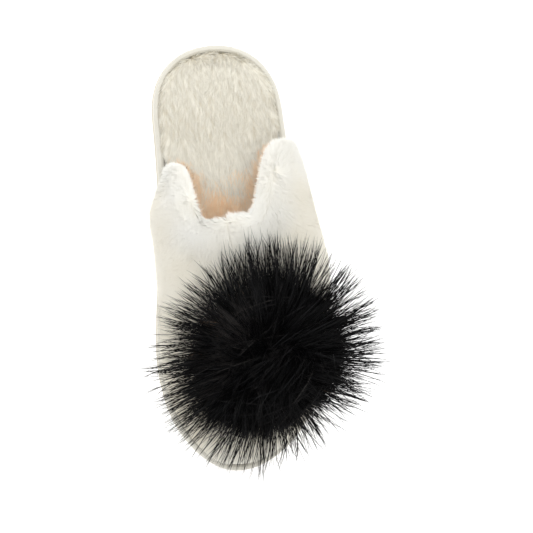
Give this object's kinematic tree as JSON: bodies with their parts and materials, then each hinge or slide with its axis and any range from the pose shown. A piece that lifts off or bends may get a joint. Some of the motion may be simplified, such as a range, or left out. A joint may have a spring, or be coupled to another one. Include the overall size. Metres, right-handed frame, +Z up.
{
  "type": "pom pom slipper",
  "caption": "Backless plush slipper for the left foot, with a deep throat, a platform sole with a bound edge, a fluffy insole and a large fur ball on the vamp.",
  "frame": {"origin": "on the floor, on the flat waist of the outsole, at the middle of the sole's length on the shoe's long axis", "axes": "+Y from heel to toe, +X to the medial side (the wearer's right, because this is the left shoe), +Z up"},
  "size_m": [0.1296, 0.258, 0.1412],
  "materials": {
    "outsole": "matte cream rubber with shallow cross grooves",
    "midsole": "cream cloth stretched over foam",
    "edge_binding": "smooth cream binding tape over a cord",
    "insole": "cream plush with the nap lying along the foot",
    "upper": "white plush, whitest on the folded cuff",
    "pompom": "long glossy black fur"
  },
  "bodies": {
    "root": {"outsole": "outsole", "midsole": "midsole", "edge_binding": "edge_binding", "insole": "insole", "upper": "upper", "pompom": "pompom"}
  },
  "joints": []
}
